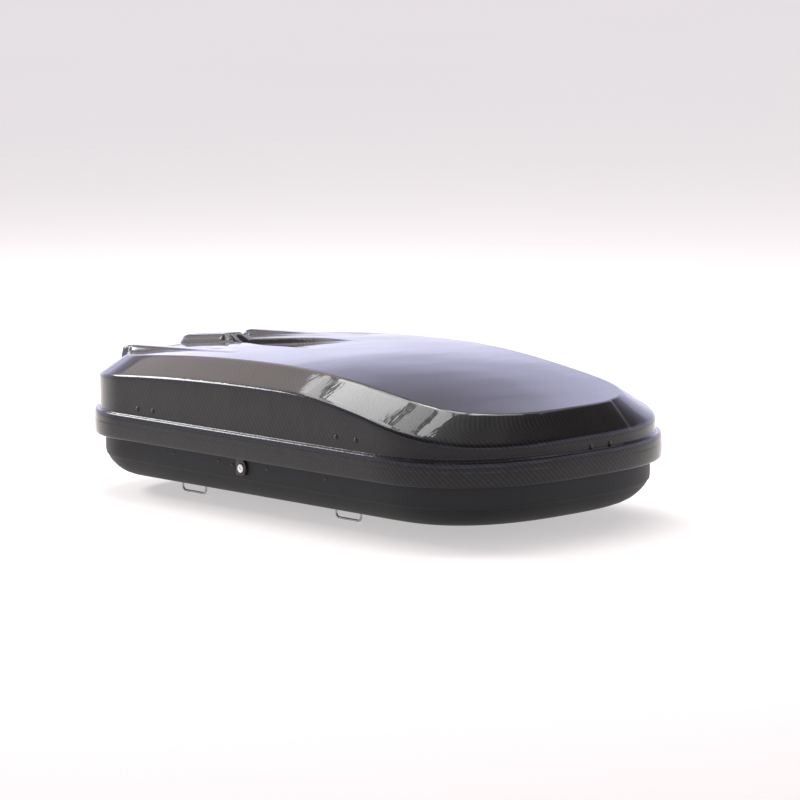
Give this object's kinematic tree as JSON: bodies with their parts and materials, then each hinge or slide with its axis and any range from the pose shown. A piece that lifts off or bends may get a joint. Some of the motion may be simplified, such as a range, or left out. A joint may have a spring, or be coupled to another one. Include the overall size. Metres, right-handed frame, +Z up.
{
  "type": "roof cargo box",
  "caption": "Hard-shell roof cargo box with a side-opening hinged lid, key lock with a sliding locking bar, gas struts and crossbar clamps.",
  "frame": {"origin": "middle of the box on the plane of the crossbars' upper faces, which is the underside of its rubber pads", "axes": "+X points to the nose, +Y to the hinge side, -Y to the lock side and +Z up"},
  "size_m": [1.5, 0.83, 0.3812],
  "materials": {
    "carbon_look_lid": "glossy clear film over a fine black twill pattern",
    "black_abs_base": "fine-grained matte black",
    "seal_rubber": "soft matte",
    "aluminium_rail": "satin extruded",
    "zinc_steel": "bright zinc plate",
    "black_steel": "black e-coat",
    "black_screw": "black oxide",
    "black_nylon": "satin moulded",
    "bright_lock": "satin nickel",
    "strut_paint": "satin black paint",
    "chromed_rod": "polished"
  },
  "bodies": {
    "base": {"base_tray": "black_abs_base", "base_floor": "black_abs_base", "base_seal": "seal_rubber", "floor_rail_left": "zinc_steel", "floor_rail_right": "zinc_steel", "rail_rivets": "zinc_steel", "bar_pads": "seal_rubber", "hinge_base_leaf_1": "black_steel", "hinge_base_leaf_2": "black_steel", "hinge_base_leaf_3": "black_steel", "hinge_pin_1": "zinc_steel", "hinge_pin_2": "zinc_steel", "hinge_pin_3": "zinc_steel", "hinge_screws": "black_screw", "lock_escutcheon": "black_nylon", "lock_rivet": "black_screw", "bar_guides": "black_nylon", "nose_base_bracket": "black_steel", "tail_base_bracket": "black_steel"},
    "lid": {"lid_shell": "carbon_look_lid", "lid_edge_rail": "aluminium_rail", "tail_catch": "black_steel", "nose_catch": "black_steel", "lid_screws": "black_screw", "bracket_screws": "black_screw", "nose_lid_bracket": "black_steel", "tail_lid_bracket": "black_steel", "hinge_lid_leaf_1": "black_steel", "hinge_lid_leaf_2": "black_steel", "hinge_lid_leaf_3": "black_steel"},
    "key_plug": {"lock_cylinder": "bright_lock", "lock_cam": "black_steel", "cam_screw": "zinc_steel"},
    "locking_bar": {"lock_bar": "zinc_steel"},
    "nose_strut": {"nose_strut_cylinder": "strut_paint"},
    "nose_rod": {"nose_strut_rod": "chromed_rod"},
    "tail_strut": {"tail_strut_cylinder": "strut_paint"},
    "tail_rod": {"tail_strut_rod": "chromed_rod"},
    "clamp_tail_right": {"clamp_tail_right": "zinc_steel", "plate_tail_right": "zinc_steel"},
    "knob_tail_right_1": {"knob_tail_right_1": "black_nylon"},
    "knob_tail_right_2": {"knob_tail_right_2": "black_nylon"},
    "clamp_tail_left": {"clamp_tail_left": "zinc_steel", "plate_tail_left": "zinc_steel"},
    "knob_tail_left_1": {"knob_tail_left_1": "black_nylon"},
    "knob_tail_left_2": {"knob_tail_left_2": "black_nylon"},
    "clamp_nose_right": {"clamp_nose_right": "zinc_steel", "plate_nose_right": "zinc_steel"},
    "knob_nose_right_1": {"knob_nose_right_1": "black_nylon"},
    "knob_nose_right_2": {"knob_nose_right_2": "black_nylon"},
    "clamp_nose_left": {"clamp_nose_left": "zinc_steel", "plate_nose_left": "zinc_steel"},
    "knob_nose_left_1": {"knob_nose_left_1": "black_nylon"},
    "knob_nose_left_2": {"knob_nose_left_2": "black_nylon"}
  },
  "joints": [
    {"name": "lid_hinge", "type": "hinge", "parent": "base", "child": "lid", "pos_m": [0, 0.4, 0.118], "axis": [-1, 0, 0], "range_deg": [0, 50]},
    {"name": "key_turn", "type": "hinge", "parent": "base", "child": "key_plug", "pos_m": [-0.065, -0.387, 0.084], "axis": [0, 1, 0], "range_deg": [0, 90]},
    {"name": "bar_slide", "type": "slide", "parent": "base", "child": "locking_bar", "axis": [1, 0, 0], "range_m": [0, 0.0198]},
    {"name": "nose_strut_swing", "type": "hinge", "parent": "base", "child": "nose_strut", "pos_m": [0.63, 0.285, 0.122], "axis": [-1, 0, 0], "range_deg": [0, 65.38]},
    {"name": "nose_strut_stroke", "type": "slide", "parent": "nose_strut", "child": "nose_rod", "axis": [0, -0.979, 0.204], "range_m": [0, 0.0669]},
    {"name": "tail_strut_swing", "type": "hinge", "parent": "base", "child": "tail_strut", "pos_m": [-0.67, 0.285, 0.122], "axis": [-1, 0, 0], "range_deg": [0, 65.38]},
    {"name": "tail_strut_stroke", "type": "slide", "parent": "tail_strut", "child": "tail_rod", "axis": [0, -0.979, 0.204], "range_m": [0, 0.0669]},
    {"name": "clamp_tail_right_slide", "type": "slide", "parent": "base", "child": "clamp_tail_right", "axis": [1, 0, 0], "range_m": [-0.05, 0.05]},
    {"name": "knob_tail_right_1_spin", "type": "hinge", "parent": "clamp_tail_right", "child": "knob_tail_right_1", "pos_m": [-0.475, -0.235, 0.013], "axis": [0, 0, 1], "continuous": true},
    {"name": "knob_tail_right_2_spin", "type": "hinge", "parent": "clamp_tail_right", "child": "knob_tail_right_2", "pos_m": [-0.385, -0.235, 0.013], "axis": [0, 0, 1], "continuous": true},
    {"name": "clamp_tail_left_slide", "type": "slide", "parent": "base", "child": "clamp_tail_left", "axis": [1, 0, 0], "range_m": [-0.05, 0.05]},
    {"name": "knob_tail_left_1_spin", "type": "hinge", "parent": "clamp_tail_left", "child": "knob_tail_left_1", "pos_m": [-0.475, 0.235, 0.013], "axis": [0, 0, 1], "continuous": true},
    {"name": "knob_tail_left_2_spin", "type": "hinge", "parent": "clamp_tail_left", "child": "knob_tail_left_2", "pos_m": [-0.385, 0.235, 0.013], "axis": [0, 0, 1], "continuous": true},
    {"name": "clamp_nose_right_slide", "type": "slide", "parent": "base", "child": "clamp_nose_right", "axis": [1, 0, 0], "range_m": [-0.05, 0.05]},
    {"name": "knob_nose_right_1_spin", "type": "hinge", "parent": "clamp_nose_right", "child": "knob_nose_right_1", "pos_m": [0.105, -0.235, 0.013], "axis": [0, 0, 1], "continuous": true},
    {"name": "knob_nose_right_2_spin", "type": "hinge", "parent": "clamp_nose_right", "child": "knob_nose_right_2", "pos_m": [0.195, -0.235, 0.013], "axis": [0, 0, 1], "continuous": true},
    {"name": "clamp_nose_left_slide", "type": "slide", "parent": "base", "child": "clamp_nose_left", "axis": [1, 0, 0], "range_m": [-0.05, 0.05]},
    {"name": "knob_nose_left_1_spin", "type": "hinge", "parent": "clamp_nose_left", "child": "knob_nose_left_1", "pos_m": [0.105, 0.235, 0.013], "axis": [0, 0, 1], "continuous": true},
    {"name": "knob_nose_left_2_spin", "type": "hinge", "parent": "clamp_nose_left", "child": "knob_nose_left_2", "pos_m": [0.195, 0.235, 0.013], "axis": [0, 0, 1], "continuous": true}
  ],
  "couplings": [
    {"joint": "key_turn", "follows": "bar_slide", "rad_per_m": 79.3},
    {"joint": "nose_strut_swing", "follows": "lid_hinge", "ratio": 1.2976},
    {"joint": "nose_strut_stroke", "follows": "lid_hinge", "m_per_rad": 0.075526},
    {"joint": "tail_strut_swing", "follows": "lid_hinge", "ratio": 1.2976},
    {"joint": "tail_strut_stroke", "follows": "lid_hinge", "m_per_rad": 0.075526}
  ]
}
